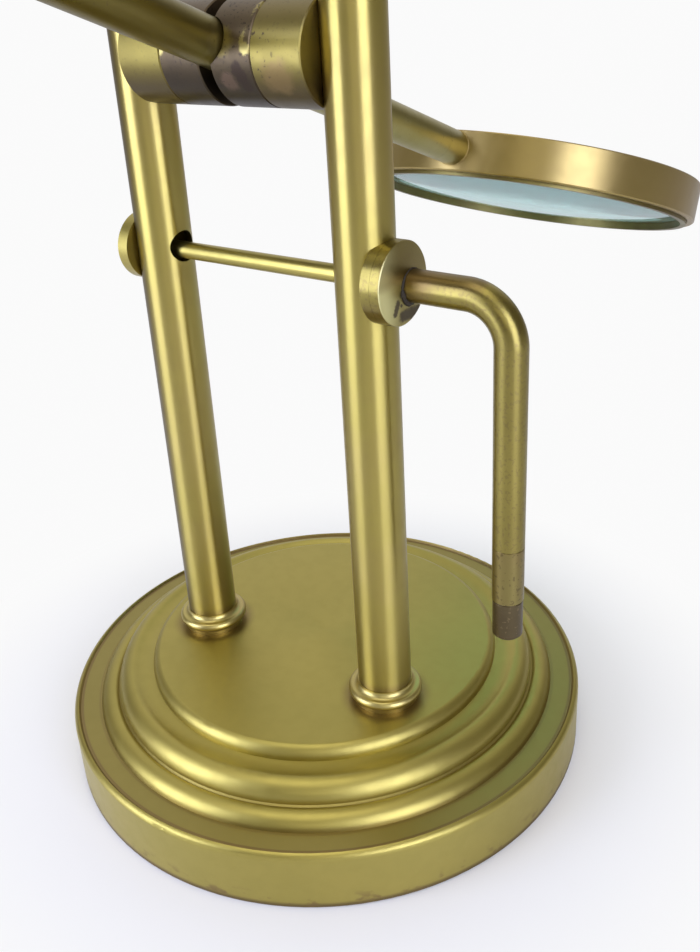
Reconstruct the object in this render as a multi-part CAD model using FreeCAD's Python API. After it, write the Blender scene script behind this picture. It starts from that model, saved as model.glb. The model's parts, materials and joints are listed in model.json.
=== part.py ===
"""Desk magnifier on a twin-post stand: one STEP file per piece, in millimetres.

Frame: origin at the centre of the felt underside, +Z up, +X along the draw bar towards the
lever, +Y towards the lens. The posts stand a little behind the centre of the base, on the side
away from the lens.
"""
import FreeCAD, Part
import math
import os

Vector = FreeCAD.Vector
X_AXIS = Vector(1, 0, 0)
Z_AXIS = Vector(0, 0, 1)

# Base
BASE_RADIUS = 67.5
SKIRT_BOTTOM_Z = 0.4
SKIRT_TOP_Z = 15.3
RIM_ROUND = 1.9
LEDGE_Z = 14.7           # flat ring between the skirt's rounded rim and the lower bead
LEDGE_RADIUS = 60.4
LOWER_BEAD_TOP = (56.2, 17.8)
BEAD_GROOVE = (55.65, 17.45)
UPPER_BEAD_FOOT = (55.2, 17.75)
UPPER_BEAD_TOP = (51.1, 22.3)
COVE_MIDDLE = (48.0, 21.35)
COVE_END = (45.8, 21.6)
DECK_Z = 25.0            # flat top that the posts stand on
DECK_RADIUS = 43.6
DECK_THICKNESS = 1.4
SHELL_WALL = 1.3
FELT_RADIUS = 65.6
FELT_THICKNESS = 1.0
PLATE_RADIUS = 65.8
PLATE_THICKNESS = 1.2
PLATE_SCREW_CIRCLE = 52.0
PLATE_SCREW_RADIUS = 1.95
PLATE_SCREW_HEAD = 3.6
SCREW_ROOM = 0.05        # how much wider a screw's hole is than the screw
POST_SCREW_RADIUS = 2.95
POST_SCREW_HOLE = 3.2
POST_SCREW_FLATS = 10.0
POST_SCREW_HEAD_Z = 6.8
WASHER_RADIUS = 6.5
WASHER_THICKNESS = 1.2
WASHER_Z = 10.8          # underside of the washers; the screws' heads end here
COUNTERBORE_RADIUS = 7.6

# Posts
POST_X = 28.8            # half the spacing of the post axes
POST_Y = -12.2
POST_RADIUS = 6.4
POST_BORE_RADIUS = 4.8
POST_TOP_Z = 191.0
CAP_DOME_HEIGHT = 4.2
FOOT_COLLAR_RADIUS = 8.95
FOOT_COLLAR_HEIGHT = 5.2
PLUG_LENGTH = 15.0
PLUG_SKIN = 2.0          # solid end of the plug, past its screw hole
PRESS_GAP = 0.02         # left between pieces that are pressed or soldered together

# Split barrel that holds the arm
BARREL_Z = 173.0
BARREL_RADIUS = 10.5
SEAM_X = 12.1            # boss on the outside, jaw on the inside
SLIT_HALF = 1.6
BOSS_END_X = 24.15       # the ears of the saddle-cut boss reach past the post's inner tangent
PIN_RADIUS = 2.5
PIN_INNER_X = 6.8
RUN_GAP = 0.05           # running clearance of every turning or sliding fit
TURNED_EDGE = 0.25       # eased edge of boss and jaw

# Arm and lens
ARM_TILT_DEG = 21.0      # the lens end hangs this far below level
ARM_RADIUS = 4.7
ARM_DROP = 0.65          # the arm's hole is drilled this far below the barrel's middle
ARM_TAIL = 60.0          # rod length beyond the barrel's axis, away from the lens
LENS_CENTRE = 138.0      # along the arm, from the barrel's axis
RING_RADIUS = 50.2
RING_WALL = 2.2
RING_HEIGHT = 11.0
RING_DROP = 1.25         # the frame's middle, below the level through the barrel's middle
FERRULE_LENGTH = 9.0
STUD_RADIUS = 2.0
STUD_DEPTH = 11.5        # how far the stud runs into the rod
RING_SOCKET = 1.0        # how far the stud goes into the frame's wall
LENS_EDGE = 2.4
LENS_CURVE_RADIUS = 340.0
LENS_DROP = 2.6          # the lens sits this far below the frame's middle
SNAP_SECTION = 1.2       # square wire above the lens
SLEEVE_WALL = 1.6        # thicker sleeve under it
SLEEVE_END = 6.4         # the sleeve stands out below the frame's edge

# Draw bar and lever
BAR_Z = 130.0
BAR_RADIUS = 1.95
COLLAR_RADIUS = 8.6
SADDLE_BACK_X = 33.4
SADDLE_FRONT_X = 35.6
COLLAR_FRONT_X = 37.9
COLLAR_DOME = 0.5        # how far the collar's face bulges at its middle
BAR_END_X = 36.5         # the bar ends inside the collar, brazed in a blind hole
CRANK_START_X = 36.6     # the crank is brazed in a blind hole on the other face
LEVER_Y = -9.8           # the crank was brazed on off-centre: beside the bar's axis
LEVER_Z = 129.1          # and below it
LEVER_RADIUS = 3.4
LEVER_LEG_X = 60.55
LEVER_BEND = 9.5
GRIP_TOP_Z = 76.1
GRIP_BOTTOM_Z = 63.0
LEVER_END_Z = 53.9
LEVER_STUD_RADIUS = 1.5
NUT_RADIUS = 7.9
NUT_RIM_X = 36.4
NUT_APEX_X = 39.2
FAR_HOLE_RADIUS = 3.6    # oversize inner hole of the far post
FAR_HOLE_Z = 130.9

POST_SIDES = {"far": -1, "near": 1}
EXPORTED = {}


def keep(name, shape):
    """Write one piece to its own STEP file."""
    EXPORTED[name] = shape
    shape.exportStep("parts/" + name + ".step")


def cylinder(radius, length, base, direction=Z_AXIS):
    return Part.makeCylinder(radius, length, base, direction)


def along_x(radius, x_low, x_high, z):
    """Cylinder along X in the plane of the posts."""
    return cylinder(radius, x_high - x_low, Vector(x_low, POST_Y, z), X_AXIS)


def arc(start, middle, end):
    return Part.Arc(Vector(*start), Vector(*middle), Vector(*end)).toShape()


def line(start, end):
    return Part.LineSegment(Vector(*start), Vector(*end)).toShape()


def profile_face(steps):
    """Closed face in the XZ plane. A step is a point, or a pair (middle, end) for an arc."""
    edges = []
    here = steps[0]
    for step in steps[1:] + [steps[0]]:
        if isinstance(step[0], tuple):
            middle, end = step
            edges.append(arc((here[0], 0, here[1]), (middle[0], 0, middle[1]), (end[0], 0, end[1])))
            here = end
        else:
            edges.append(line((here[0], 0, here[1]), (step[0], 0, step[1])))
            here = step
    return Part.Face(Part.Wire(edges))


def turned(steps):
    """Solid of revolution about Z from (radius, height) steps."""
    return profile_face(steps).revolve(Vector(0, 0, 0), Z_AXIS, 360)


def quarter_round(start, end):
    """Arc step that leaves start upright and reaches end level, bulging up and out."""
    share = math.sqrt(0.5)
    middle = (end[0] + (start[0] - end[0]) * share, start[1] + (end[1] - start[1]) * share)
    return (middle, end)


def dome(start, apex_z):
    """Arc step from start to the axis, part of a sphere centred on the axis."""
    rise = abs(apex_z - start[1])
    radius = (start[0] ** 2 + rise ** 2) / (2 * rise)
    half_angle = math.asin(start[0] / radius) / 2
    drop = radius * (1 - math.cos(half_angle))
    middle_z = apex_z - math.copysign(drop, apex_z - start[1])
    return ((radius * math.sin(half_angle), middle_z), (0, apex_z))


def turned_about_x(steps, side, z):
    """Turned solid from (radius, distance from the middle plane) steps, at one side's post."""
    shape = turned(steps)
    shape.rotate(Vector(0, 0, 0), Vector(0, 1, 0), 90 * side)
    shape.translate(Vector(0, POST_Y, z))
    return shape


def at_post(shape, side):
    """Move a piece modelled about the Z axis to one of the posts."""
    moved = shape.copy()
    moved.translate(Vector(POST_X * side, POST_Y, 0))
    return moved


def on_arm(shape):
    """Tilt a piece modelled level about the barrel's axis into the arm's rest position."""
    moved = shape.copy()
    moved.rotate(Vector(0, 0, 0), X_AXIS, -ARM_TILT_DEG)
    moved.translate(Vector(0, POST_Y, BARREL_Z))
    return moved


def arm_cylinder(radius, near_end, far_end):
    """Cylinder along the untilted arm, which runs along +Y."""
    return cylinder(radius, far_end - near_end, Vector(0, near_end, -ARM_DROP), Vector(0, 1, 0))


def post_envelope(side):
    """The post as a solid bar, for saddle cuts."""
    return at_post(cylinder(POST_RADIUS, POST_TOP_Z, Vector(0, 0, 0)), side)


# ---------------------------------------------------------------- base

def base_shell():
    """Spun shell: skirt with a rounded rim, two beads, a cove and the raised deck."""
    skirt_inside = BASE_RADIUS - SHELL_WALL
    rim_outside = (BASE_RADIUS, SKIRT_TOP_Z - RIM_ROUND)
    rim_top = (BASE_RADIUS - 1.2, SKIRT_TOP_Z)
    inside = [
        (0, DECK_Z),
        (0, DECK_Z - DECK_THICKNESS),
        (42.4, DECK_Z - DECK_THICKNESS),
        (44.6, 20.1),
        (49.8, 20.1),
        (52.4, 19.4),
        (53.0, 16.2),
        (57.6, 15.6),
        (59.0, LEDGE_Z - 1.0),
        (skirt_inside, LEDGE_Z - 1.0),
        (skirt_inside, SKIRT_BOTTOM_Z),
    ]
    outside = [
        (BASE_RADIUS, SKIRT_BOTTOM_Z),
        rim_outside,
        quarter_round(rim_outside, rim_top),
        (BASE_RADIUS - 1.7, LEDGE_Z),
        (LEDGE_RADIUS, LEDGE_Z),
        quarter_round((LEDGE_RADIUS, LEDGE_Z), LOWER_BEAD_TOP),
        BEAD_GROOVE,
        UPPER_BEAD_FOOT,
        quarter_round(UPPER_BEAD_FOOT, UPPER_BEAD_TOP),
        (COVE_MIDDLE, COVE_END),
        quarter_round(COVE_END, (DECK_RADIUS, DECK_Z)),
    ]
    shell = turned(inside + outside)
    for side in POST_SIDES.values():
        hole = cylinder(POST_SCREW_HOLE, 4.0, Vector(0, 0, DECK_Z - 3.0))
        shell = shell.cut(at_post(hole, side))
    return shell


def base_weight():
    """Stepped iron disc that fills the shell and carries the screws."""
    bottom = FELT_THICKNESS + PLATE_THICKNESS
    washer_top = WASHER_Z + WASHER_THICKNESS
    body = turned([
        (0, bottom),
        (PLATE_RADIUS, bottom),
        (PLATE_RADIUS, 13.3),
        (57.1, 13.3),
        (57.1, 15.3),
        (52.0, 15.3),
        (52.0, 19.0),
        (42.0, 19.0),
        (42.0, DECK_Z - DECK_THICKNESS),
        (0, DECK_Z - DECK_THICKNESS),
    ])
    for side in POST_SIDES.values():
        body = body.cut(at_post(cylinder(POST_SCREW_HOLE + 0.1, DECK_Z, Vector(0, 0, 0)), side))
        counterbore = cylinder(COUNTERBORE_RADIUS, washer_top - bottom, Vector(0, 0, bottom))
        body = body.cut(at_post(counterbore, side))
    for x, y in plate_screw_places():
        body = body.cut(cylinder(PLATE_SCREW_RADIUS + SCREW_ROOM, 8.0, Vector(x, y, bottom)))
    return body


def plate_screw_places():
    angles = [math.radians(30 + 120 * turn) for turn in range(3)]
    circle = PLATE_SCREW_CIRCLE
    return [(circle * math.cos(angle), circle * math.sin(angle)) for angle in angles]


def plate_screw(x, y):
    """Countersunk screw, head down, flush with the plate's underside."""
    foot = Vector(x, y, FELT_THICKNESS)
    head = Part.makeCone(PLATE_SCREW_HEAD, PLATE_SCREW_RADIUS, PLATE_THICKNESS, foot, Z_AXIS)
    shank = cylinder(PLATE_SCREW_RADIUS, 7.0, Vector(x, y, FELT_THICKNESS + PLATE_THICKNESS))
    slot_length = 5.2
    slot_width = 0.8
    slot = Part.makeBox(slot_length, slot_width, 0.6,
                        Vector(x - slot_length / 2, y - slot_width / 2, FELT_THICKNESS))
    return head.fuse(shank).removeSplitter().cut(slot)


def base_plate():
    """Sheet disc that closes the base, countersunk for its three screws."""
    plate = cylinder(PLATE_RADIUS, PLATE_THICKNESS, Vector(0, 0, FELT_THICKNESS))
    for x, y in plate_screw_places():
        cone = Part.makeCone(PLATE_SCREW_HEAD + SCREW_ROOM, PLATE_SCREW_RADIUS + SCREW_ROOM,
                             PLATE_THICKNESS, Vector(x, y, FELT_THICKNESS), Z_AXIS)
        plate = plate.cut(cone)
    return plate


def base_felt():
    return cylinder(FELT_RADIUS, FELT_THICKNESS, Vector(0, 0, 0))


def post_screw():
    """Hexagon screw that draws the post down on the deck, modelled about the Z axis."""
    corner = POST_SCREW_FLATS / 2 / math.cos(math.radians(30))
    angles = [math.radians(60 * turn) for turn in range(6)]
    corners = [Vector(corner * math.cos(a), corner * math.sin(a), POST_SCREW_HEAD_Z) for a in angles]
    outline = Part.makePolygon(corners + [corners[0]])
    head = Part.Face(outline).extrude(Vector(0, 0, WASHER_Z - POST_SCREW_HEAD_Z))
    shank = cylinder(POST_SCREW_RADIUS, DECK_Z + 12.0 - WASHER_Z, Vector(0, 0, WASHER_Z))
    return head.fuse(shank)


def post_washer():
    ring = cylinder(WASHER_RADIUS, WASHER_THICKNESS, Vector(0, 0, WASHER_Z))
    return ring.cut(cylinder(POST_SCREW_RADIUS + 0.15, WASHER_THICKNESS, Vector(0, 0, WASHER_Z)))


# ---------------------------------------------------------------- posts

def post(side):
    """Tube with cross holes for the draw bar and the pivot pin."""
    tube = cylinder(POST_RADIUS, POST_TOP_Z - DECK_Z, Vector(0, 0, DECK_Z))
    tube = tube.cut(cylinder(POST_BORE_RADIUS, POST_TOP_Z, Vector(0, 0, DECK_Z - 1)))
    tube = at_post(tube, side)
    middle = POST_X * side
    outside = POST_RADIUS + 1.6
    tube = tube.cut(along_x(BAR_RADIUS + RUN_GAP, middle - outside, middle + outside, BAR_Z))
    pin_low, pin_high = sorted((middle - outside * side, middle))
    tube = tube.cut(along_x(PIN_RADIUS, pin_low, pin_high, BARREL_Z))
    if side == POST_SIDES["far"]:
        tube = tube.cut(along_x(FAR_HOLE_RADIUS, middle, middle + outside, FAR_HOLE_Z))
    return tube


def foot_collar():
    """Recessed foot, one bead and a hollow flare that meets the post."""
    inner = POST_RADIUS + PRESS_GAP
    groove = FOOT_COLLAR_RADIUS - 0.8
    foot = groove - 0.3
    top = DECK_Z + FOOT_COLLAR_HEIGHT
    return turned([
        (inner, DECK_Z),
        (foot, DECK_Z),
        (foot, DECK_Z + 1.0),
        (groove, DECK_Z + 1.4),
        ((FOOT_COLLAR_RADIUS, DECK_Z + 2.6), (groove, DECK_Z + 3.7)),
        ((inner + 0.55, DECK_Z + 4.1), (inner + 0.15, top)),
        (inner, top),
    ])


def post_plug():
    """Soldered in the foot of the post; the post's screw goes into it."""
    plug = cylinder(POST_BORE_RADIUS - PRESS_GAP, PLUG_LENGTH, Vector(0, 0, DECK_Z))
    hole = cylinder(POST_SCREW_RADIUS + SCREW_ROOM, PLUG_LENGTH - PLUG_SKIN, Vector(0, 0, DECK_Z))
    return plug.cut(hole)


def post_cap():
    """Domed cap with a small bead, pressed into the top of the tube."""
    low = POST_TOP_Z
    spigot = POST_BORE_RADIUS - PRESS_GAP
    dome_edge = (POST_RADIUS + 0.4, low + 1.4)
    return turned([
        (0, low - 8),
        (spigot, low - 8),
        (spigot, low),
        (POST_RADIUS + 0.5, low),
        ((POST_RADIUS + 0.9, low + 0.7), dome_edge),
        dome(dome_edge, dome_edge[1] + CAP_DOME_HEIGHT),
    ])


# ---------------------------------------------------------------- barrel

def barrel_steps(inner, outer):
    """Outline of a length of the barrel with eased edges."""
    edge = TURNED_EDGE
    return [
        (0, inner),
        (BARREL_RADIUS - edge, inner),
        (BARREL_RADIUS, inner + edge),
        (BARREL_RADIUS, outer - edge),
        (BARREL_RADIUS - edge, outer),
        (0, outer),
    ]


def boss(side):
    """Outer part of the barrel, saddle-cut to sit round the post."""
    body = turned_about_x(barrel_steps(SEAM_X, BOSS_END_X), side, BARREL_Z)
    body = body.cut(post_envelope(side))
    low, high = sorted((side * SEAM_X, side * (BOSS_END_X + 1)))
    return body.cut(along_x(PIN_RADIUS, low - 1, high, BARREL_Z))


def pivot_pin(side):
    """Pressed into boss and post wall; the jaw turns on its inner end."""
    low, high = sorted((side * PIN_INNER_X, side * (POST_X - POST_BORE_RADIUS)))
    return along_x(PIN_RADIUS, low, high, BARREL_Z)


def jaw(side):
    """Inner part of the barrel, modelled level: half a cross hole for the arm, and a pin bore."""
    body = turned(barrel_steps(SLIT_HALF, SEAM_X - RUN_GAP))
    body.rotate(Vector(0, 0, 0), Vector(0, 1, 0), 90 * side)
    trough = arm_cylinder(ARM_RADIUS + RUN_GAP, -BARREL_RADIUS - 1, BARREL_RADIUS + 1)
    body = body.cut(trough)
    flare_depth = 1.2
    for mouth in (-1, 1):
        flare = Part.makeCone(ARM_RADIUS + flare_depth, ARM_RADIUS, flare_depth,
                              Vector(0, mouth * (BARREL_RADIUS + 0.3), -ARM_DROP),
                              Vector(0, -mouth, 0))
        body = body.cut(flare)
    low, high = sorted((side * (PIN_INNER_X - RUN_GAP), side * (SEAM_X + 1)))
    bore = cylinder(PIN_RADIUS + RUN_GAP, high - low, Vector(low, 0, 0), X_AXIS)
    return on_arm(body.cut(bore))


# ---------------------------------------------------------------- arm and lens

def arm_end():
    """Lens end of the rod, along the arm."""
    return LENS_CENTRE - RING_RADIUS - FERRULE_LENGTH


def stud_end():
    """End of the stud, in the wall of the lens frame."""
    return LENS_CENTRE - RING_RADIUS + RING_SOCKET


def arm_rod():
    """Round rod with a running bore for the lens head's stud and a bore for the end cap."""
    rod = arm_cylinder(ARM_RADIUS, -ARM_TAIL, arm_end())
    rod = rod.cut(arm_cylinder(STUD_RADIUS + RUN_GAP, arm_end() - STUD_DEPTH - 0.5, arm_end() + 1))
    rod = rod.cut(arm_cylinder(STUD_RADIUS, -ARM_TAIL - 1, -ARM_TAIL + 8.0))
    return on_arm(rod)


def arm_end_cap():
    """Turned stop on the tail of the rod."""
    spigot = STUD_RADIUS - PRESS_GAP
    cap = turned([
        (0, -7.8),
        (spigot, -7.8),
        (spigot, 0),
        (ARM_RADIUS + 0.6, 0),
        ((ARM_RADIUS + 1.7, 1.6), (ARM_RADIUS + 0.5, 3.0)),
        dome((ARM_RADIUS + 0.5, 3.0), 7.0),
    ])
    cap.rotate(Vector(0, 0, 0), X_AXIS, 90)
    cap.translate(Vector(0, -ARM_TAIL, -ARM_DROP))
    return on_arm(cap)


def arm_ferrule():
    """Short neck between rod and lens frame; its end is saddle-cut to the frame."""
    neck = arm_cylinder(ARM_RADIUS, arm_end() + RUN_GAP, stud_end())
    frame = cylinder(RING_RADIUS, RING_HEIGHT * 2, Vector(0, LENS_CENTRE, -RING_HEIGHT))
    neck = neck.cut(frame)
    return on_arm(neck.cut(arm_cylinder(STUD_RADIUS, arm_end(), LENS_CENTRE)))


def arm_stud():
    """Runs in the rod, pressed through the ferrule into the frame's wall."""
    return on_arm(arm_cylinder(STUD_RADIUS, arm_end() - STUD_DEPTH, stud_end()))


def lens_ring():
    """Plain band with eased edges and a socket for the stud."""
    half = RING_HEIGHT / 2
    edge = 0.35
    inner = RING_RADIUS - RING_WALL
    band = turned([
        (inner, -half + edge),
        (inner + edge, -half),
        (RING_RADIUS - edge, -half),
        (RING_RADIUS, -half + edge),
        (RING_RADIUS, half - edge),
        (RING_RADIUS - edge, half),
        (inner + edge, half),
        (inner, half - edge),
    ])
    band.translate(Vector(0, LENS_CENTRE, -RING_DROP))
    socket = arm_cylinder(STUD_RADIUS, arm_end(), stud_end())
    return on_arm(band.cut(socket))


def lens_glass():
    """Biconvex lens with a plain ground edge."""
    radius = RING_RADIUS - RING_WALL - 0.05
    edge = LENS_EDGE / 2
    crown = edge + LENS_CURVE_RADIUS - math.sqrt(LENS_CURVE_RADIUS ** 2 - radius ** 2)
    under_middle, _ = dome((radius, -edge), -crown)
    lens = turned([
        (0, -crown),
        (under_middle, (radius, -edge)),
        (radius, edge),
        dome((radius, edge), crown),
    ])
    lens.translate(Vector(0, LENS_CENTRE, -RING_DROP - LENS_DROP))
    return on_arm(lens)


def beside_lens(wall, near, far):
    """Ring in the frame from near to far of the lens's middle plane, relieved for the lens."""
    outer = RING_RADIUS - RING_WALL - PRESS_GAP
    low, high = sorted((near, far))
    middle_z = -RING_DROP - LENS_DROP
    foot = Vector(0, LENS_CENTRE, low + middle_z)
    ring = cylinder(outer, high - low, foot).cut(cylinder(outer - wall, high - low, foot))
    crown = LENS_CURVE_RADIUS - math.sqrt(LENS_CURVE_RADIUS ** 2 - outer ** 2)
    ball_z = near - math.copysign(LENS_CURVE_RADIUS - crown, near) + middle_z
    return on_arm(ring.cut(Part.makeSphere(LENS_CURVE_RADIUS, Vector(0, LENS_CENTRE, ball_z))))


def lens_seat_ring():
    """Square wire ring above the lens's edge."""
    return beside_lens(SNAP_SECTION, LENS_EDGE / 2 + RUN_GAP, LENS_EDGE / 2 + SNAP_SECTION)


def lens_retainer():
    """Sleeve under the lens's edge; its lip shows below the frame."""
    return beside_lens(SLEEVE_WALL, -LENS_EDGE / 2 - RUN_GAP, LENS_DROP - SLEEVE_END)


# ---------------------------------------------------------------- draw bar and lever

def draw_bar():
    return along_x(BAR_RADIUS, -NUT_RIM_X, BAR_END_X, BAR_Z)


def saddle_near():
    """Plate that fits round the near post and gives the lever's collar a flat face to turn on."""
    body = along_x(COLLAR_RADIUS, SADDLE_BACK_X, SADDLE_FRONT_X, BAR_Z)
    body = body.cut(post_envelope(POST_SIDES["near"]))
    return body.cut(along_x(BAR_RADIUS + RUN_GAP, SADDLE_BACK_X - 1, SADDLE_FRONT_X + 1, BAR_Z))


def lever_collar():
    """Disc that joins bar and crank; its face is slightly domed, with an eased rim."""
    edge = 0.2
    body = turned_about_x([
        (0, SADDLE_FRONT_X + RUN_GAP),
        (COLLAR_RADIUS, SADDLE_FRONT_X + RUN_GAP),
        (COLLAR_RADIUS, COLLAR_FRONT_X - edge),
        (COLLAR_RADIUS - edge, COLLAR_FRONT_X),
        dome((COLLAR_RADIUS - edge, COLLAR_FRONT_X), COLLAR_FRONT_X + COLLAR_DOME),
    ], POST_SIDES["near"], BAR_Z)
    body = body.cut(along_x(BAR_RADIUS, SADDLE_FRONT_X, BAR_END_X, BAR_Z))
    crank_foot = Vector(CRANK_START_X, LEVER_Y, LEVER_Z)
    return body.cut(cylinder(LEVER_RADIUS, LEVER_BEND, crank_foot, X_AXIS))


def lever_crank():
    """Bent rod: level out of the collar, then straight down, in one piece down to the grip."""
    corner_x = LEVER_LEG_X - LEVER_BEND
    corner_z = LEVER_Z - LEVER_BEND
    share = math.sqrt(0.5)
    path = Part.Wire([
        line((CRANK_START_X, LEVER_Y, LEVER_Z), (corner_x, LEVER_Y, LEVER_Z)),
        arc((corner_x, LEVER_Y, LEVER_Z),
            (corner_x + LEVER_BEND * share, LEVER_Y, corner_z + LEVER_BEND * share),
            (LEVER_LEG_X, LEVER_Y, corner_z)),
        line((LEVER_LEG_X, LEVER_Y, corner_z), (LEVER_LEG_X, LEVER_Y, GRIP_TOP_Z)),
    ])
    circle = Part.Circle(Vector(CRANK_START_X, LEVER_Y, LEVER_Z), X_AXIS, LEVER_RADIUS).toShape()
    rod = path.makePipeShell([Part.Wire([circle])], True, True)
    socket = cylinder(LEVER_STUD_RADIUS, 5.0, Vector(LEVER_LEG_X, LEVER_Y, GRIP_TOP_Z - 1))
    return rod.cut(socket)


def lever_section(top, bottom, radius, bore_bottom, nose):
    """Turned length of the lever's leg: eased ends, and a stud bore from its top down."""
    edge = 0.22
    shape = turned([
        (0, bottom),
        (radius - nose, bottom),
        (radius, bottom + nose),
        (radius, top - edge),
        (radius - edge, top),
        (0, top),
    ])
    shape = shape.cut(cylinder(LEVER_STUD_RADIUS, top + 1 - bore_bottom, Vector(0, 0, bore_bottom)))
    shape.translate(Vector(LEVER_LEG_X, LEVER_Y, 0))
    return shape


def lever_grip():
    return lever_section(GRIP_TOP_Z, GRIP_BOTTOM_Z, LEVER_RADIUS, GRIP_BOTTOM_Z - 1, 0.22)


def lever_tip():
    return lever_section(GRIP_BOTTOM_Z, LEVER_END_Z, LEVER_RADIUS - 0.15, GRIP_BOTTOM_Z - 5.0, 0.6)


def lever_stud():
    """Threaded pin that joins crank, grip and tip."""
    low = GRIP_BOTTOM_Z - 4.8
    radius = LEVER_STUD_RADIUS - PRESS_GAP
    return cylinder(radius, GRIP_TOP_Z + 3.8 - low, Vector(LEVER_LEG_X, LEVER_Y, low))


def dome_nut():
    """Domed nut, saddle-cut to the far post so that it cannot turn."""
    side = POST_SIDES["far"]
    body = turned_about_x([
        (0, SADDLE_BACK_X),
        (NUT_RADIUS, SADDLE_BACK_X),
        (NUT_RADIUS, NUT_RIM_X),
        dome((NUT_RADIUS, NUT_RIM_X), NUT_APEX_X),
    ], side, BAR_Z)
    body = body.cut(post_envelope(side))
    return body.cut(along_x(BAR_RADIUS + RUN_GAP, -NUT_RIM_X - 0.8, -SADDLE_BACK_X + 3, BAR_Z))


# ---------------------------------------------------------------- build

def build():
    os.makedirs("parts", exist_ok=True)
    keep("base_shell", base_shell())
    keep("base_weight", base_weight())
    keep("base_plate", base_plate())
    keep("base_plate_screws", Part.makeCompound([plate_screw(x, y) for x, y in plate_screw_places()]))
    keep("base_felt", base_felt())
    sides = POST_SIDES.values()
    keep("post_screws", Part.makeCompound([at_post(post_screw(), side) for side in sides]))
    keep("post_washers", Part.makeCompound([at_post(post_washer(), side) for side in sides]))
    for name, side in POST_SIDES.items():
        keep("post_" + name, post(side))
        keep("post_plug_" + name, at_post(post_plug(), side))
        keep("foot_collar_" + name, at_post(foot_collar(), side))
        keep("post_cap_" + name, at_post(post_cap(), side))
        keep("boss_" + name, boss(side))
        keep("pivot_pin_" + name, pivot_pin(side))
        keep("jaw_" + name, jaw(side))
    keep("arm_rod", arm_rod())
    keep("arm_end_cap", arm_end_cap())
    keep("arm_ferrule", arm_ferrule())
    keep("arm_stud", arm_stud())
    keep("lens_ring", lens_ring())
    keep("lens_glass", lens_glass())
    keep("lens_seat_ring", lens_seat_ring())
    keep("lens_retainer", lens_retainer())
    keep("draw_bar", draw_bar())
    keep("saddle_near", saddle_near())
    keep("lever_collar", lever_collar())
    keep("lever_crank", lever_crank())
    keep("lever_grip", lever_grip())
    keep("lever_tip", lever_tip())
    keep("lever_stud", lever_stud())
    keep("dome_nut", dome_nut())


build()
for node_name, node_shape in EXPORTED.items():
    print(node_name, "valid" if node_shape.isValid() else "INVALID",
          len(node_shape.Solids), "solids", round(node_shape.Volume, 2), "mm3")
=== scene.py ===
"""Looks of the desk magnifier: finishes, brazed seams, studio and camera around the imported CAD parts.

Everything is in metres in the parts' own frame: +Z up, +X towards the lever, +Y towards the lens.
"""
import json
import math

import bmesh
import bpy
from mathutils import Matrix, Vector, noise

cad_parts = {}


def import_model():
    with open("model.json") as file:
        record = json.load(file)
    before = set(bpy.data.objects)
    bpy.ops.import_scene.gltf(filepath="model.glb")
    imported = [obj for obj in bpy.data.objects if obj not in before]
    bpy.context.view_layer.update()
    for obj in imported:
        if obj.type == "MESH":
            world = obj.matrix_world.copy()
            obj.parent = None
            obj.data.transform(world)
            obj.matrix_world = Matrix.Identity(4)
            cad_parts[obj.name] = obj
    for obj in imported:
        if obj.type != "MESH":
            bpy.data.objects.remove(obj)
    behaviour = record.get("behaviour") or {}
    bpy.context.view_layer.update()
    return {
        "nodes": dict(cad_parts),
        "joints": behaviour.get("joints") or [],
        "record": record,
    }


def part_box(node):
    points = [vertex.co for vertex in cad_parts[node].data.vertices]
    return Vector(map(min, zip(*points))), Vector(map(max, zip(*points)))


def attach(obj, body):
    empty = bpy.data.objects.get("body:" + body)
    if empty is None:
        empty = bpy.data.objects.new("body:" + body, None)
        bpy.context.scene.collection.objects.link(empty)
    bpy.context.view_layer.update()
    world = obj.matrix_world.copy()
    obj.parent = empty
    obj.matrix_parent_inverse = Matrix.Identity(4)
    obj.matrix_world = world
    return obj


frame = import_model()

MM = 0.001
JOINTS = {joint["name"]: joint for joint in frame["joints"]}
BARREL = Vector(JOINTS["arm_tilt"]["pos_m"])
BAR = Vector(JOINTS["lever_turn"]["pos_m"])
ARM_WAY = Vector(JOINTS["arm_slide"]["axis"])
ON_ARM = Vector(JOINTS["lens_twist"]["pos_m"])
LENS_UP = Vector((1, 0, 0)).cross(ARM_WAY)
LEVER_RADIUS = 3.4 * MM
LEVER_BEND = 9.5 * MM
CRANK_DROP = 0.9 * MM           # the crank is brazed on this far below the draw bar's axis
PAINTED_SHADE_SIDE = Vector((-0.788, -0.616, 0.0))   # the side of the far post painted dark as shade
GRAIN_DEPTH = 0.05 * MM


def middle(node):
    low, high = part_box(node)
    return (low + high) / 2


def half_width(node):
    """Half a node's extent along X, which is the radius of a rod or ring that X crosses."""
    low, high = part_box(node)
    return (high.x - low.x) / 2


def on_barrel(x_mm, angle_deg):
    """Point on the outside of the split barrel; 180 degrees faces -Y and -90 degrees is its underside."""
    low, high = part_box("boss_near")
    radius = (high.z - low.z) / 2
    angle = math.radians(angle_deg)
    return BARREL + Vector((x_mm * MM, radius * math.cos(angle), radius * math.sin(angle)))


def on_collar(y_mm, z_mm):
    """Point on the outer face of the lever's collar, measured from its centre."""
    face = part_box("lever_collar")[1].x
    return Vector((face, BAR.y + y_mm * MM, BAR.z + z_mm * MM))


# ---------------------------------------------------------------- node materials

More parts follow.
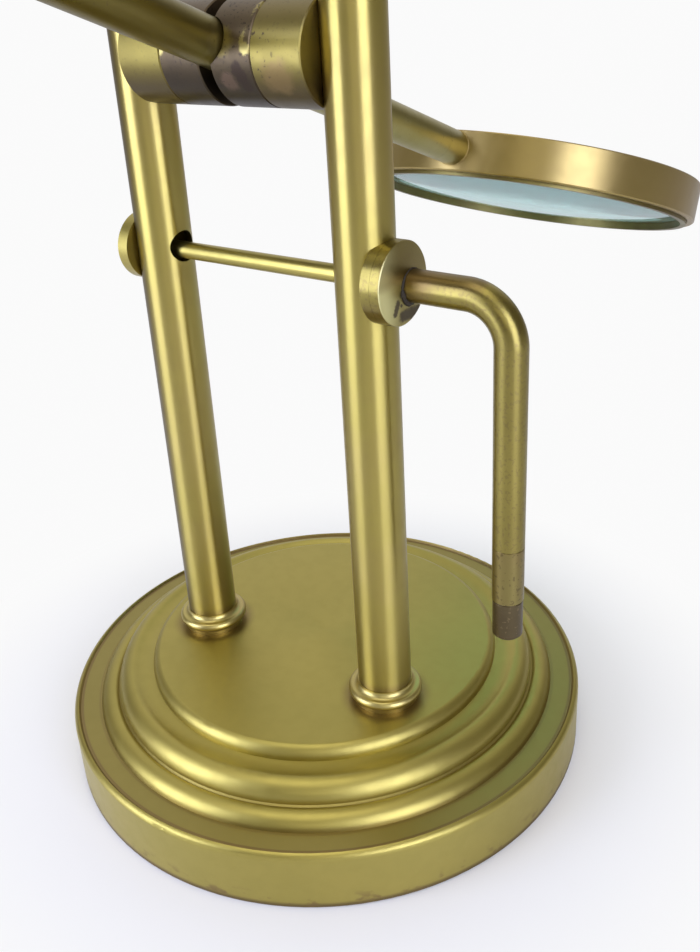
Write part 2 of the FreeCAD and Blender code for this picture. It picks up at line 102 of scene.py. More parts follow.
class Material:
    """A node material whose sockets take a number, a colour or another node's output."""

    def __init__(self, name):
        self.material = bpy.data.materials.new(name)
        self.material.use_nodes = True
        self.tree = self.material.node_tree
        self.tree.nodes.clear()
        self.place = self.node("ShaderNodeTexCoord").outputs["Object"]
        split = self.node("ShaderNodeSeparateXYZ")
        self.feed(split.inputs[0], self.place)
        self.x, self.y, self.z = split.outputs

    def node(self, kind, **settings):
        made = self.tree.nodes.new(kind)
        for name, value in settings.items():
            setattr(made, name, value)
        return made

    def feed(self, socket, value):
        if isinstance(value, bpy.types.NodeSocket):
            self.tree.links.new(value, socket)
        elif socket.type == "RGBA":
            socket.default_value = (*value, 1.0)
        else:
            socket.default_value = value

    def math(self, operation, *values, clamp=False):
        made = self.node("ShaderNodeMath", operation=operation, use_clamp=clamp)
        for socket, value in zip(made.inputs, values):
            self.feed(socket, value)
        return made.outputs[0]

    def vector(self, operation, *values):
        """Vector maths; dot products, lengths and distances come out as one number."""
        made = self.node("ShaderNodeVectorMath", operation=operation)
        for socket, value in zip(made.inputs, values):
            self.feed(socket, value)
        one_number = operation in ("DOT_PRODUCT", "LENGTH", "DISTANCE")
        return made.outputs["Value" if one_number else "Vector"]

    def join(self, x, y, z):
        made = self.node("ShaderNodeCombineXYZ")
        for socket, value in zip(made.inputs, (x, y, z)):
            self.feed(socket, value)
        return made.outputs[0]

    def between(self, value, low, high):
        """0 below low, 1 above high, smooth in between; falls instead where low is above high."""
        made = self.node("ShaderNodeMapRange", interpolation_type="SMOOTHSTEP")
        for socket, given in zip(made.inputs, (value, min(low, high), max(low, high))):
            self.feed(socket, given)
        rises = low < high
        made.inputs[3].default_value = 0.0 if rises else 1.0
        made.inputs[4].default_value = 1.0 if rises else 0.0
        return made.outputs[0]

    def band(self, value, low, high, soft):
        """1 between low and high, fading to 0 over soft outside them."""
        rise = self.between(value, low - soft, low)
        fall = self.between(value, high + soft, high)
        return self.math("MULTIPLY", rise, fall)

    def noise(self, size, detail=2.0, stretch=(1, 1, 1)):
        """Noise with features of about that size, drawn out by stretch along each axis."""
        mapping = self.node("ShaderNodeMapping")
        self.feed(mapping.inputs["Vector"], self.place)
        mapping.inputs["Scale"].default_value = [1 / amount for amount in stretch]
        made = self.node("ShaderNodeTexNoise")
        self.feed(made.inputs["Vector"], mapping.outputs[0])
        made.inputs["Scale"].default_value = 1 / size
        made.inputs["Detail"].default_value = detail
        return made.outputs[0]

    def radius_about(self, centre_x, centre_y):
        """Distance from an upright axis."""
        across = self.math("SUBTRACT", self.x, centre_x)
        along = self.math("SUBTRACT", self.y, centre_y)
        return self.vector("LENGTH", self.join(across, along, 0.0))

    def near(self, point, reach, ragged=0.0):
        """1 at a point, fading out at reach from it; ragged pushes the edge about with noise."""
        return self.fading(self.vector("DISTANCE", self.place, point), reach, ragged)

    def stroke(self, start, end, reach, ragged=0.0):
        """1 along the line from start to end, fading out at reach from it."""
        way = end - start
        from_start = self.vector("SUBTRACT", self.place, start)
        share = self.vector("DOT_PRODUCT", from_start, way / way.length_squared)
        share = self.math("MULTIPLY", share, 1.0, clamp=True)
        foot = self.node("ShaderNodeVectorMath", operation="SCALE")
        foot.inputs[0].default_value = way
        self.feed(foot.inputs["Scale"], share)
        return self.fading(self.vector("DISTANCE", from_start, foot.outputs[0]), reach, ragged)

    def fading(self, distance, reach, ragged):
        if ragged:
            push = self.math("SUBTRACT", self.noise(reach / 2, 4.0), 0.5)
            distance = self.math("MULTIPLY_ADD", push, ragged, distance)
        return self.between(distance, reach, reach * 0.45)

    def blend(self, amount, first, second):
        made = self.node("ShaderNodeMix", data_type="RGBA")
        self.feed(made.inputs[0], amount)
        self.feed(made.inputs[6], first)
        self.feed(made.inputs[7], second)
        return made.outputs[2]

    def bump(self, height, strength, distance):
        made = self.node("ShaderNodeBump")
        made.inputs["Strength"].default_value = strength
        made.inputs["Distance"].default_value = distance
        self.feed(made.inputs["Height"], height)
        return made.outputs["Normal"]

    def finish(self, shader):
        output = self.node("ShaderNodeOutputMaterial")
        self.tree.links.new(shader.outputs[0], output.inputs["Surface"])
        return self.material


class Brass(Material):
    """Aged brass: clouds of patina, mottling and a fine satin grain, with stains and painted light and shade
    laid over it.
    """

    def __init__(self, name, colour, patina, roughness, clouding=0.5, grain=(1, 1, 1)):
        super().__init__(name)
        clouds = self.between(self.noise(28 * MM, 2.0), 0.38, 0.66)
        mottle = self.between(self.noise(3.5 * MM, 3.0), 0.36, 0.68)
        amount = self.math("MULTIPLY", clouds, clouding)
        amount = self.math("MULTIPLY_ADD", mottle, clouding * 0.35, amount)
        self.colour = self.blend(amount, colour, patina)
        self.satin = self.noise(0.35 * MM, 3.0, grain)
        uneven = self.math("MULTIPLY_ADD", mottle, 0.04, roughness - 0.06)
        self.roughness = self.math("MULTIPLY_ADD", self.satin, 0.08, uneven)
        self.height = self.satin
        self.metal = 1.0
        self.tangent = None

    def paint_stain_or_light(self, mask, colour, rough=None, strength=1.0):
        """Lay a colour over the metal where the mask is 1, for real stains and for painted light and shade.
        """
        amount = self.math("MULTIPLY", mask, strength)
        self.colour = self.blend(amount, self.colour, colour)
        if rough is not None:
            change = self.math("SUBTRACT", rough, self.roughness)
            self.roughness = self.math("MULTIPLY_ADD", change, amount, self.roughness)

    def sink(self, mask, depth):
        """Lower the surface where the mask is 1, for pits, dents and seams."""
        self.height = self.math("MULTIPLY_ADD", mask, -depth, self.height)

    def speckle(self, colour, size, share, strength):
        """Small scattered specks over that share of the surface, roughly."""
        specks = self.between(self.noise(size, 3.0), 0.70 - share, 0.78 - share)
        self.paint_stain_or_light(specks, colour, strength=strength)

    def streak_along(self, way):
        """Spread reflections along a direction given in the object's own frame."""
        turn = self.node("ShaderNodeVectorTransform", vector_type="VECTOR",
                         convert_from="OBJECT", convert_to="WORLD")
        self.feed(turn.inputs[0], way)
        self.tangent = turn.outputs[0]

    def done(self, strength=0.06, streaking=0.0):
        shader = self.node("ShaderNodeBsdfPrincipled")
        self.feed(shader.inputs["Base Color"], self.colour)
        self.feed(shader.inputs["Roughness"], self.roughness)
        self.feed(shader.inputs["Metallic"], self.metal)
        self.feed(shader.inputs["Normal"], self.bump(self.height, strength, GRAIN_DEPTH))
        shader.inputs["Coat Weight"].default_value = 0.15
        shader.inputs["Coat Roughness"].default_value = 0.3
        if self.tangent is not None:
            shader.inputs["Anisotropic"].default_value = streaking
            self.feed(shader.inputs["Tangent"], self.tangent)
        return self.finish(shader)


# ---------------------------------------------------------------- finishes

GOLD = (0.43, 0.355, 0.088)
PALE_GOLD = (0.50, 0.42, 0.13)
OLIVE = (0.31, 0.265, 0.065)
BROWN = (0.23, 0.155, 0.06)
DARK_BROWN = (0.085, 0.06, 0.035)
ROSE = (0.42, 0.29, 0.15)
BLACK_OXIDE = (0.018, 0.018, 0.016)


def post_brass():
    """Drawn tube: reflections spread along it, a faint rosy tarnish, painted shade just above the foot
    collars and on one side of the far post.
    """
    brass = Brass("post_brass", GOLD, ROSE, 0.37, 0.14, (1, 1, 10))
    brass.streak_along((0, 0, 1))
    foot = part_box("foot_collar_near")[1].z
    # painted shade: brown darkening just above the foot collar
    brass.paint_stain_or_light(brass.between(brass.z, foot + 2.5 * MM, foot), BROWN, strength=0.6)
    # painted shade: one side of the far post is coloured dark brown
    outwards = brass.vector("DOT_PRODUCT", brass.place, PAINTED_SHADE_SIDE)
    axis = middle("post_far").dot(PAINTED_SHADE_SIDE)
    painted_dark_side = brass.between(outwards, axis + 3.8 * MM, axis + 6.0 * MM)
    brass.paint_stain_or_light(painted_dark_side, (0.13, 0.095, 0.035), strength=0.85)
    return brass.done(0.08, streaking=0.88)


def base_brass():
    """Spun shell: painted shade, brown and olive, on the flat ring inside its rim, in its grooves, round the
    posts' feet and along the bottom edge.
    """
    low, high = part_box("base_shell")
    rim = high.x
    brass = Brass("base_brass", GOLD, (0.36, 0.31, 0.075), 0.42, 0.3)
    radius = brass.radius_about(0, 0)
    # painted shade: the flat ring inside the rim is coloured dark olive
    ledge_shade = brass.band(radius, rim - 6.9 * MM, rim - 2.2 * MM, 0.4 * MM)
    brass.paint_stain_or_light(ledge_shade, (0.26, 0.21, 0.065), strength=0.6)
    # painted shade: brown rings in the creases of the profile
    shaded_creases = ((1.9, 0.35, 0.8), (6.9, 0.3, 0.35), (11.9, 0.2, 0.3))
    for line, width, strength in shaded_creases:
        groove = brass.band(radius, rim - (line + width) * MM, rim - (line - width) * MM, 0.4 * MM)
        brass.paint_stain_or_light(groove, BROWN, strength=strength)
    # painted shade: darker along the bottom edge, where the shell meets the floor
    hem_shade = brass.between(brass.z, low.z + 1.5 * MM, low.z + 0.4 * MM)
    brass.paint_stain_or_light(hem_shade, (0.15, 0.10, 0.04), strength=0.85)
    worn = brass.between(brass.noise(5 * MM, 3.0, (1, 1, 0.6)), 0.56, 0.70)
    near_hem = brass.between(brass.z, low.z + 5.0 * MM, low.z + 1.0 * MM)
    brass.paint_stain_or_light(brass.math("MULTIPLY", worn, near_hem), BROWN, 0.5, 0.8)
    # painted shade: brown rings on the shell round the posts' feet
    for name in ("foot_collar_near", "foot_collar_far"):
        foot = middle(name)
        collar = half_width(name)
        around = brass.radius_about(foot.x, foot.y)
        brass.paint_stain_or_light(brass.between(around, collar + 3.0 * MM, collar - 0.8 * MM), BROWN, strength=0.8)
    outwards = brass.vector("NORMALIZE", brass.join(brass.x, brass.y, 0.0))
    brass.streak_along(brass.vector("SUBTRACT", outwards, (0, 0, 1)))
    return brass.done(0.10, streaking=0.35)


def collar_brass():
    brass = Brass("collar_brass", PALE_GOLD, ROSE, 0.34, 0.35)
    return brass.done()


def boss_brass():
    """Turned ends of the barrel: pitted casting, painted shade underneath, a pinkish tone painted on top as
    reflected light.
    """
    brass = Brass("boss_brass", (0.27, 0.22, 0.05), (0.22, 0.175, 0.045), 0.40, 0.6)
    # painted light: a pinkish tone on the top of the barrel
    top = brass.between(brass.z, BARREL.z + 2 * MM, BARREL.z + 9 * MM)
    brass.paint_stain_or_light(top, (0.19, 0.145, 0.07), strength=0.6)
    # painted shade: much darker on the underside
    below = brass.between(brass.z, BARREL.z + 1 * MM, BARREL.z - 7 * MM)
    brass.paint_stain_or_light(below, (0.075, 0.052, 0.022), strength=0.85)
    brown = brass.near(on_barrel(18, -159), 4.5 * MM, 4 * MM)
    brass.paint_stain_or_light(brown, BROWN, strength=0.7)
    pits = brass.between(brass.noise(0.9 * MM, 3.0), 0.60, 0.66)
    pitted = brass.stroke(on_barrel(14.2, 163), on_barrel(15.2, 188), 3.6 * MM, 2 * MM)
    pits = brass.math("MULTIPLY", pits, brass.math("MULTIPLY_ADD", pitted, 0.8, 0.2))
    brass.paint_stain_or_light(pits, DARK_BROWN, 0.55, 0.9)
    brass.sink(pits, 1.5)
    return brass.done(0.2)


def jaw_brass():
    """Clamping halves: dark brown patina, rubbed bright in places, painted lighter on top and painted shade
    underneath.
    """
    brass = Brass("jaw_brass", (0.13, 0.095, 0.045), (0.075, 0.055, 0.032), 0.40, 0.8)
    # painted light: lighter on the top of the barrel
    top = brass.between(brass.z, BARREL.z + 2 * MM, BARREL.z + 9 * MM)
    brass.paint_stain_or_light(top, (0.17, 0.125, 0.07), strength=0.7)
    # painted shade: much darker on the underside
    below = brass.between(brass.z, BARREL.z + 2 * MM, BARREL.z - 6 * MM)
    brass.paint_stain_or_light(below, (0.04, 0.029, 0.016), strength=0.85)
    brass.paint_stain_or_light(brass.near(on_barrel(5.5, -154), 2.6 * MM, 2 * MM), (0.17, 0.11, 0.07), strength=0.6)
    brass.paint_stain_or_light(brass.near(on_barrel(5, 165), 3.4 * MM, 2.5 * MM), (0.25, 0.20, 0.06), strength=0.8)
    dark = brass.stroke(on_barrel(8.4, -168), on_barrel(9.6, -150), 1.9 * MM, 2 * MM)
    brass.paint_stain_or_light(dark, (0.045, 0.03, 0.02), 0.5, 0.85)
    smear = brass.stroke(on_barrel(11.7, 121), on_barrel(10, 166), 0.8 * MM, 1 * MM)
    brass.paint_stain_or_light(smear, PALE_GOLD, 0.3, 0.6)
    for x_mm, angle in ((10.9, 172), (-11.8, 172)):
        brass.paint_stain_or_light(brass.near(on_barrel(x_mm, angle), 1.6 * MM, 1.2 * MM), PALE_GOLD, 0.3, 0.8)
    brass.speckle((0.04, 0.03, 0.02), 0.8 * MM, 0.10, 0.7)
    return brass.done(0.25)


def arm_brass():
    """Drawn rod, dark with age on the tail and paler towards the lens."""
    brass = Brass("arm_brass", (0.36, 0.315, 0.115), OLIVE, 0.36, 0.6)
    tail = brass.between(brass.y, BARREL.y + 4 * MM, BARREL.y - 22 * MM)
    brass.paint_stain_or_light(tail, (0.15, 0.115, 0.025), strength=0.85)
    grip = brass.stroke(on_barrel(3, 150), on_barrel(6, 175), 4 * MM, 5 * MM)
    brass.paint_stain_or_light(grip, (0.30, 0.27, 0.12), strength=0.4)
    brass.speckle((0.11, 0.08, 0.035), 0.9 * MM, 0.06, 0.35)
    return brass.done()


def ring_brass():
    """Lens frame: smooth, golden, brown where the neck was soldered on, with painted shade on its side
    towards +X and +Y.
    """
    brass = Brass("ring_brass", (0.44, 0.335, 0.115), (0.38, 0.27, 0.11), 0.38, 0.2)
    neck = middle("arm_ferrule") + ARM_WAY * 5 * MM
    brass.paint_stain_or_light(brass.near(neck, 13 * MM, 6 * MM), (0.24, 0.17, 0.07), strength=0.3)
    # painted shade: the ring is coloured darker towards its +X, +Y side
    ring_shade_side = brass.vector("DOT_PRODUCT", brass.place, (0.75, 0.66, 0.0))
    centre = middle("lens_ring")
    turn = centre.x * 0.75 + centre.y * 0.66
    brass.paint_stain_or_light(brass.between(ring_shade_side, turn + 12 * MM, turn + 46 * MM), (0.33, 0.25, 0.15), strength=0.6)
    brass.streak_along(LENS_UP)
    return brass.done(0.05, streaking=0.8)


def bar_brass():
    """Draw bar and its nut."""
    brass = Brass("bar_brass", GOLD, OLIVE, 0.34, 0.4, (12, 1, 1))
    return brass.done(0.10)


def lever_brass():
    """Crank, collar and saddle: rubbed, speckled, pale on the collar's face, stained by the braze; a painted
    highlight on the face's -Y side, painted shade low on the collar's side and saddle and along the top of
    the crank.
    """
    brass = Brass("lever_brass", (0.30, 0.245, 0.058), (0.22, 0.175, 0.045), 0.34, 0.45)
    brass.speckle((0.20, 0.145, 0.05), 0.7 * MM, 0.16, 0.5)
    face_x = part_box("lever_collar")[1].x
    on_face = brass.band(brass.x, face_x - 0.6 * MM, face_x, 0.1 * MM)
    brass.paint_stain_or_light(on_face, (0.40, 0.35, 0.12), 0.42, 0.5)
    # painted highlight: a very pale patch on the -Y half of the collar's face
    painted_highlight_side = brass.between(brass.y, BAR.y - 1 * MM, BAR.y - 7 * MM)
    brass.paint_stain_or_light(brass.math("MULTIPLY", on_face, painted_highlight_side), (0.84, 0.80, 0.38), 0.46, 0.8)
    # painted shade: darker on the lower part of the collar's side and saddle
    on_disc = brass.band(brass.x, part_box("saddle_near")[0].x, face_x - 0.7 * MM, 0.1 * MM)
    painted_shade_low = brass.between(brass.z, BAR.z - 1 * MM, BAR.z - 6 * MM)
    brass.paint_stain_or_light(brass.math("MULTIPLY", on_disc, painted_shade_low), (0.17, 0.11, 0.045), strength=0.65)
    stains = (
        ((-2.7, -3.3), (-3.4, -5.3), 1.0, DARK_BROWN, 0.9),
        ((-1.5, -4.0), (-1.4, -4.1), 0.5, DARK_BROWN, 0.9),
        ((-0.6, -6.4), (6.0, -7.0), 1.9, (0.07, 0.05, 0.03), 0.85),
    )
    for start, end, width, colour, strength in stains:
        mark = brass.stroke(on_collar(*start), on_collar(*end), width * MM, 0.7 * width * MM)
        brass.paint_stain_or_light(mark, colour, 0.55, strength)
    scratches = (((-6.9, 1.6), (-5.2, -3.4)), ((-6.0, 2.4), (-6.4, -1.2)), ((-4.4, -5.9), (-2.2, -7.0)))
    for start, end in scratches:
        scratch = brass.stroke(on_collar(*start), on_collar(*end), 0.16 * MM)
        brass.paint_stain_or_light(scratch, PALE_GOLD, 0.25, 0.7)
        brass.sink(scratch, 0.5)
    crank = middle("lever_grip")
    crank_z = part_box("lever_crank")[1].z - half_width("lever_grip")
    # painted shade: darker along the top of the crank's horizontal run
    painted_dark_top = brass.between(brass.z, crank_z + 0.3 * MM, crank_z + 2.6 * MM)
    over = brass.band(brass.x, face_x + 0.5 * MM, crank.x - 6 * MM, 2 * MM)
    brass.paint_stain_or_light(brass.math("MULTIPLY", painted_dark_top, over), (0.17, 0.115, 0.04), strength=0.75)
    soldered = brass.stroke(Vector((face_x, crank.y, BAR.z)), Vector((face_x + 3 * MM, crank.y, BAR.z)),
                            7 * MM, 4 * MM)
    on_crank = brass.between(brass.x, face_x, face_x + 0.4 * MM)
    brass.paint_stain_or_light(brass.math("MULTIPLY", soldered, on_crank), BROWN, strength=0.7)
    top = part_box("lever_crank")[1].z
    bend = Vector((crank.x - LEVER_BEND, crank.y, top - LEVER_RADIUS - LEVER_BEND))
    across = brass.math("MAXIMUM", brass.math("SUBTRACT", brass.x, bend.x), 0.0)
    upwards = brass.math("MAXIMUM", brass.math("SUBTRACT", brass.z, bend.z), 0.0)
    brass.streak_along(brass.join(upwards, 0.0, brass.math("MULTIPLY", across, -1.0)))
    return brass.done(0.22, streaking=0.6)


def grip_brass():
    """Turned sleeve between two fine grooves."""
    brass = Brass("grip_brass", (0.25, 0.205, 0.062), BROWN, 0.34, 0.4)
    brass.speckle((0.10, 0.07, 0.03), 0.9 * MM, 0.12, 0.6)
    brass.streak_along((0, 0, 1))
    return brass.done(0.25, streaking=0.6)


def tip_brass():
    """Blackened end of the lever."""
    brass = Brass("tip_brass", (0.13, 0.10, 0.045), (0.08, 0.055, 0.03), 0.42, 0.5)
    brass.speckle((0.26, 0.19, 0.09), 0.8 * MM, 0.08, 0.5)
    return brass.done(0.2)


def snap_ring_brass():
    brass = Brass("snap_ring_brass", (0.20, 0.17, 0.055), (0.12, 0.09, 0.035), 0.4, 0.5)
    return brass.done()


def braze_black():
    """Burnt flux and spelter left round a brazed joint."""
    crust = Material("braze_black")
    shader = crust.node("ShaderNodeBsdfPrincipled")
    lumps = crust.noise(0.5 * MM, 4.0)
    crust.feed(shader.inputs["Base Color"], crust.blend(lumps, BLACK_OXIDE, (0.06, 0.045, 0.025)))
    crust.feed(shader.inputs["Roughness"], crust.math("MULTIPLY_ADD", lumps, 0.3, 0.55))
    shader.inputs["Specular IOR Level"].default_value = 0.15
    crust.feed(shader.inputs["Normal"], crust.bump(lumps, 0.5, 0.2 * MM))
    return crust.finish(shader)


def lens_glass():
    """Thick, slightly hazy crown glass with a sea-green tint."""
    glass = Material("lens_glass")
    shader = glass.node("ShaderNodeBsdfPrincipled")
    shader.inputs["Transmission Weight"].default_value = 0.84
    shader.inputs["Roughness"].default_value = 0.02
    shader.inputs["IOR"].default_value = 1.5
    shader.inputs["Base Color"].default_value = (0.54, 0.89, 0.86, 1.0)
    return glass.finish(shader)


def steel():
    metal = Material("steel")
    shader = metal.node("ShaderNodeBsdfPrincipled")
    tarnish = metal.between(metal.noise(1.5 * MM, 3.0), 0.4, 0.65)
    metal.feed(shader.inputs["Base Color"], metal.blend(tarnish, (0.55, 0.55, 0.56), (0.36, 0.35, 0.34)))
    metal.feed(shader.inputs["Roughness"], metal.math("MULTIPLY_ADD", tarnish, 0.15, 0.3))
    shader.inputs["Metallic"].default_value = 1.0
    return metal.finish(shader)


def felt():
    """Pressed wool: short fibres that catch the light at the edge."""
    cloth = Material("felt")
    shader = cloth.node("ShaderNodeBsdfPrincipled")
    fibres = cloth.noise(0.25 * MM, 6.0)
    cloth.feed(shader.inputs["Base Color"], cloth.blend(fibres, (0.02, 0.035, 0.02), (0.06, 0.09, 0.06)))
    shader.inputs["Roughness"].default_value = 0.95
    shader.inputs["Sheen Weight"].default_value = 0.3
    cloth.feed(shader.inputs["Normal"], cloth.bump(fibres, 0.6, 0.2 * MM))
    return cloth.finish(shader)


def weight_iron():
    iron = Material("weight_iron")
    shader = iron.node("ShaderNodeBsdfPrincipled")
    skin = iron.noise(1.2 * MM, 5.0)
    iron.feed(shader.inputs["Base Color"], iron.blend(skin, (0.05, 0.05, 0.05), (0.14, 0.13, 0.12)))
    shader.inputs["Roughness"].default_value = 0.7
    shader.inputs["Metallic"].default_value = 0.6
    iron.feed(shader.inputs["Normal"], iron.bump(skin, 0.5, 0.3 * MM))
    return iron.finish(shader)


FINISHES = (
    post_brass, base_brass, collar_brass, boss_brass, jaw_brass, arm_brass, ring_brass, bar_brass,
    lever_brass, grip_brass, tip_brass, snap_ring_brass, lens_glass, steel, felt, weight_iron,
)


def dress(finishes):
    """Give every CAD node the finish of its material slot."""
    for subpart in frame["record"]["subparts"]:
        node = frame["nodes"][subpart["node"]]
        node.data.materials.clear()
        node.data.materials.append(finishes[subpart["material_slot"]])


def edge_rules(sharp_deg):
    """Modifier nodes that join split corners and mark edges sharper than an angle."""
    tree = bpy.data.node_groups.new("edge_rules", "GeometryNodeTree")
    tree.is_modifier = True
    for way in ("INPUT", "OUTPUT"):
        tree.interface.new_socket("Geometry", in_out=way, socket_type="NodeSocketGeometry")
    start = tree.nodes.new("NodeGroupInput")
    end = tree.nodes.new("NodeGroupOutput")
    merge = tree.nodes.new("GeometryNodeMergeByDistance")
    merge.inputs["Distance"].default_value = 0.002 * MM
    faces = tree.nodes.new("GeometryNodeSetShadeSmooth")
    edges = tree.nodes.new("GeometryNodeSetShadeSmooth")
    edges.domain = "EDGE"
    edges.inputs["Shade Smooth"].default_value = False
    bend = tree.nodes.new("GeometryNodeInputMeshEdgeAngle")
    sharp = tree.nodes.new("FunctionNodeCompare")
    sharp.inputs["B"].default_value = math.radians(sharp_deg)
    for source, target in (
        (start.outputs[0], merge.inputs["Geometry"]),
        (merge.outputs[0], faces.inputs["Geometry"]),
        (faces.outputs[0], edges.inputs["Geometry"]),
        (bend.outputs["Unsigned Angle"], sharp.inputs["A"]),
        (sharp.outputs[0], edges.inputs["Selection"]),
        (edges.outputs[0], end.inputs[0]),
    ):
        tree.links.new(source, target)
    return tree


def shade_smooth(sharp_deg):
    """Smooth shading that keeps sharp edges and lets flat faces stay flat."""
    rules = edge_rules(sharp_deg)
    for node in frame["nodes"].values():
        node.modifiers.new("edges", "NODES").node_group = rules
        weighted = node.modifiers.new("normals", "WEIGHTED_NORMAL")
        weighted.mode = "FACE_AREA_WITH_ANGLE"
        weighted.keep_sharp = True


# ---------------------------------------------------------------- brazed joints

def bead(name, path, thickness, finish, body):
    """Closed, lumpy bead of metal along a ring of points; thickness gives its radius at each."""
    sides = 10
    mesh = bmesh.new()
    count = len(path)
    loops = []
    for index, point in enumerate(path):
        way = (path[(index + 1) % count] - path[index - 1]).normalized()
        side = way.orthogonal().normalized()
        up = way.cross(side)
        lump = 1 + 0.6 * noise.noise(point / (0.9 * MM)) + 0.4 * noise.noise(point / (0.35 * MM))
        loop = []
        for step in range(sides):
            angle = math.tau * step / sides
            reach = thickness[index] * lump
            offset = side * (math.cos(angle) * reach) + up * (math.sin(angle) * reach)
            loop.append(mesh.verts.new(point + offset))
        loops.append(loop)
    for index, loop in enumerate(loops):
        following = loops[(index + 1) % count]
        shift = min(range(sides), key=lambda turn: (following[turn].co - loop[0].co).length)
        for step in range(sides):
            mesh.faces.new((loop[step], loop[(step + 1) % sides],
                            following[(step + 1 + shift) % sides], following[(step + shift) % sides]))
    bmesh.ops.recalc_face_normals(mesh, faces=mesh.faces)
    data = bpy.data.meshes.new(name)
    mesh.to_mesh(data)
    mesh.free()
    data.shade_smooth()
    data.materials.append(finish)
    piece = bpy.data.objects.new(name, data)
    bpy.context.scene.collection.objects.link(piece)
    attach(piece, body)
    return piece


def crank_braze(finish):
    """Burnt bead round the crank on the collar's face, widest below and towards -Y."""
    centre = Vector((0, middle("lever_grip").y, BAR.z - CRANK_DROP))
    face_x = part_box("lever_collar")[1].x
    rod = half_width("lever_grip")
    steps = 96
    path = []
    thickness = []
    for step in range(steps):
        angle = math.tau * step / steps
        heavy = max(0.0, math.cos(angle - math.radians(215)))
        size = (0.14 + 0.46 * heavy ** 1.5) * MM
        reach = rod + size * 0.45
        path.append(Vector((face_x, centre.y + reach * math.cos(angle), centre.z + reach * math.sin(angle))))
        thickness.append(size)
    return bead("crank_braze", path, thickness, finish, "lever")


def neck_braze(finish):
    """Fine fillet where the neck meets the lens frame."""
    ring_low, ring_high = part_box("lens_ring")
    ring_centre = (ring_low + ring_high) / 2
    ring_centre += LENS_UP * (ON_ARM - ring_centre).dot(LENS_UP)
    ring_radius = half_width("lens_ring")
    neck_radius = half_width("arm_ferrule")
    steps = 80
    path = []
    for step in range(steps):
        angle = math.tau * step / steps
        x = neck_radius * math.cos(angle)
        height = neck_radius * math.sin(angle)
        back = math.sqrt(ring_radius ** 2 - x ** 2)
        path.append(ring_centre - ARM_WAY * back + LENS_UP * height + Vector((x, 0, 0)))
    return bead("neck_braze", path, [0.2 * MM] * steps, finish, "lens_head")


# ---------------------------------------------------------------- studio

def area_light(name, position, target, width, height, radiance, colour):
    """Rectangular softbox of a given radiance; the camera doesn't see it."""
    light = bpy.data.lights.new(name, "AREA")
    light.shape = "RECTANGLE"
    light.size = width
    light.size_y = height
    light.energy = radiance * math.pi * width * height
    light.color = colour
    holder = bpy.data.objects.new(name, light)
    holder.location = position
    holder.rotation_euler = (Vector(target) - Vector(position)).to_track_quat("-Z", "Y").to_euler()
    holder.visible_camera = False
    bpy.context.scene.collection.objects.link(holder)


def round_the_object(azimuth_deg, distance, height):
    angle = math.radians(azimuth_deg)
    return Vector((distance * math.cos(angle), distance * math.sin(angle), height))


def lights():
    left = round_the_object(-120, 0.7, 0.34)
    area_light("softbox_left", left, (0, 0, left.z), 0.42, 0.68, 4.9, (0.90, 0.97, 1.35))
    right = round_the_object(-23, 0.7, 0.34)
    area_light("softbox_right", right, (0, 0, right.z), 0.38, 0.68, 4.5, (0.92, 0.97, 1.35))
    front = round_the_object(-57, 0.9, 0.48)
    area_light("softbox_front", front, (0, 0, 0.03), 0.45, 0.34, 1.2, (1.0, 0.97, 0.9))
    area_light("overhead", (0, -0.25, 1.4), (0, 0, 0), 0.9, 0.9, 2.0, (1.0, 0.98, 0.95))


class Surroundings:
    """World shader: as light, a pale backdrop and dim elsewhere; seen directly, near white."""

    def __init__(self):
        made = bpy.data.worlds.new("studio")
        bpy.context.scene.world = made
        made.use_nodes = True
        self.tree = made.node_tree
        self.tree.nodes.clear()
        self.way = self.tree.nodes.new("ShaderNodeTexCoord").outputs["Generated"]

    def lobe(self, azimuth_deg, height_deg, narrow, wide):
        """1 within narrow degrees of a direction, 0 beyond wide degrees."""
        height = math.radians(height_deg)
        aim = round_the_object(azimuth_deg, math.cos(height), math.sin(height))
        dot = self.tree.nodes.new("ShaderNodeVectorMath")
        dot.operation = "DOT_PRODUCT"
        self.tree.links.new(self.way, dot.inputs[0])
        dot.inputs[1].default_value = aim
        fall = self.tree.nodes.new("ShaderNodeMapRange")
        fall.interpolation_type = "SMOOTHSTEP"
        self.tree.links.new(dot.outputs["Value"], fall.inputs[0])
        fall.inputs[1].default_value = math.cos(math.radians(wide))
        fall.inputs[2].default_value = math.cos(math.radians(narrow))
        return fall.outputs[0]

    def blend(self, amount, first, second):
        made = self.tree.nodes.new("ShaderNodeMix")
        made.data_type = "RGBA"
        self.tree.links.new(amount, made.inputs[0])
        for socket, given in ((made.inputs[6], first), (made.inputs[7], second)):
            if isinstance(given, bpy.types.NodeSocket):
                self.tree.links.new(given, socket)
            else:
                socket.default_value = (*given, 1.0)
        return made.outputs[2]

    def finish(self, light_colour, seen_colour):
        path = self.tree.nodes.new("ShaderNodeLightPath")
        seen = self.tree.nodes.new("ShaderNodeMath")
        seen.operation = "MAXIMUM"
        self.tree.links.new(path.outputs["Is Camera Ray"], seen.inputs[0])
        self.tree.links.new(path.outputs["Is Transmission Ray"], seen.inputs[1])
        background = self.tree.nodes.new("ShaderNodeBackground")
        self.tree.links.new(self.blend(seen.outputs[0], light_colour, seen_colour), background.inputs[0])
        output = self.tree.nodes.new("ShaderNodeOutputWorld")
        self.tree.links.new(background.outputs[0], output.inputs["Surface"])


def world():
    surroundings = Surroundings()
    backdrop = surroundings.lobe(128, 38, 20, 60)
    colour = surroundings.blend(backdrop, (0.22, 0.20, 0.16), (0.82, 0.81, 0.84))
    surroundings.finish(colour, (0.97, 0.97, 0.97))


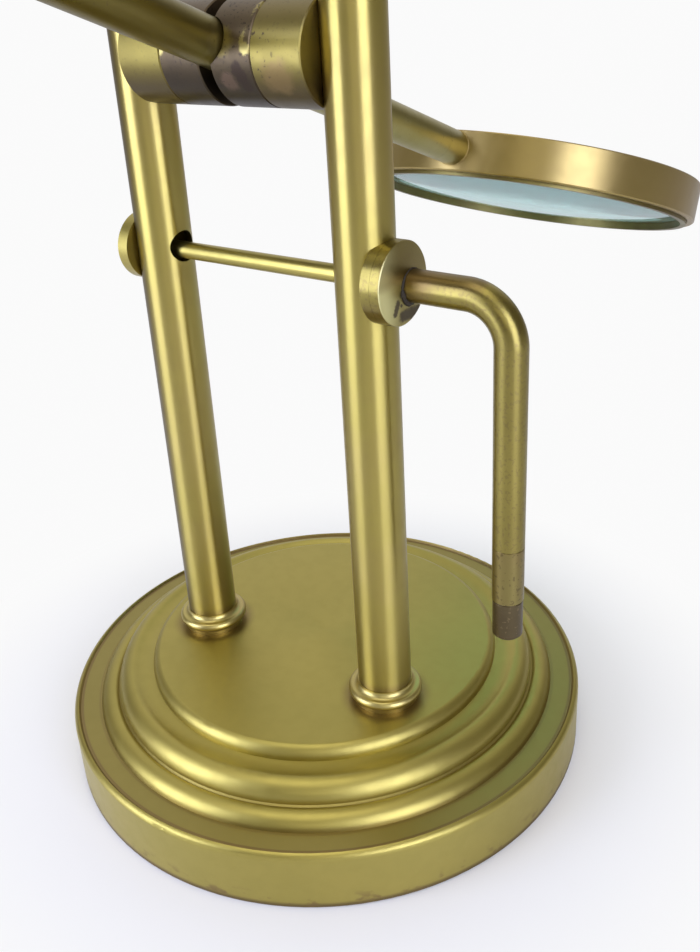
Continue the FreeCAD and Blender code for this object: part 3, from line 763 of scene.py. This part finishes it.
def floor():
    """White paper that takes the object's shadow; seen directly, it is plain white further off."""
    half = 30.0
    mesh = bpy.data.meshes.new("floor")
    mesh.from_pydata([(-half, -half, 0), (half, -half, 0), (half, half, 0), (-half, half, 0)], [],
                     [(0, 1, 2, 3)])
    plane = bpy.data.objects.new("floor", mesh)
    bpy.context.scene.collection.objects.link(plane)
    paper = Material("floor_paper")
    away = paper.radius_about(0, 0)
    tone = paper.blend(paper.noise(0.6, 2.0), (0.80, 0.80, 0.80), (0.82, 0.82, 0.82))
    shader = paper.node("ShaderNodeBsdfPrincipled")
    shader.inputs["Roughness"].default_value = 0.8
    shader.inputs["Specular IOR Level"].default_value = 0.1
    paper.feed(shader.inputs["Base Color"], tone)
    glow = paper.node("ShaderNodeEmission")
    glow.inputs["Color"].default_value = (0.96, 0.96, 0.96, 1.0)
    path = paper.node("ShaderNodeLightPath")
    seen = paper.math("MAXIMUM", path.outputs["Is Camera Ray"], path.outputs["Is Transmission Ray"])
    mix = paper.node("ShaderNodeMixShader")
    paper.feed(mix.inputs[0], paper.math("MULTIPLY", seen, paper.between(away, 0.045, 0.125)))
    paper.tree.links.new(shader.outputs[0], mix.inputs[1])
    paper.tree.links.new(glow.outputs[0], mix.inputs[2])
    mesh.materials.append(paper.finish(mix))


def camera():
    """Close view from the lever's side, a little above the arm."""
    azimuth, elevation, roll = (math.radians(angle) for angle in (-51.8904, 24.5564, -3.4624))
    target = Vector((-0.006918, 0.023778, 0.075))
    distance = 0.270933
    back = Vector((math.cos(elevation) * math.cos(azimuth), math.cos(elevation) * math.sin(azimuth),
                   math.sin(elevation)))
    level_right = (-back).cross(Vector((0, 0, 1))).normalized()
    level_up = level_right.cross(-back)
    right = level_right * math.cos(roll) + level_up * math.sin(roll)
    up = level_up * math.cos(roll) - level_right * math.sin(roll)
    lens = bpy.data.cameras.new("camera")
    lens.lens = 37.911
    lens.sensor_width = 36
    lens.shift_x = 0.004867
    lens.shift_y = -0.054959
    lens.clip_start = 0.01
    holder = bpy.data.objects.new("camera", lens)
    turn = Matrix((right, up, back)).transposed().to_4x4()
    holder.matrix_world = Matrix.Translation(target + back * distance) @ turn
    bpy.context.scene.collection.objects.link(holder)
    bpy.context.scene.camera = holder


# ---------------------------------------------------------------- build

FINISHED = {make.__name__: make() for make in FINISHES}
dress(FINISHED)
shade_smooth(35)
crank_braze(braze_black())
neck_braze(FINISHED["ring_brass"])
floor()
world()
lights()
camera()
bpy.context.scene.view_settings.view_transform = "Standard"
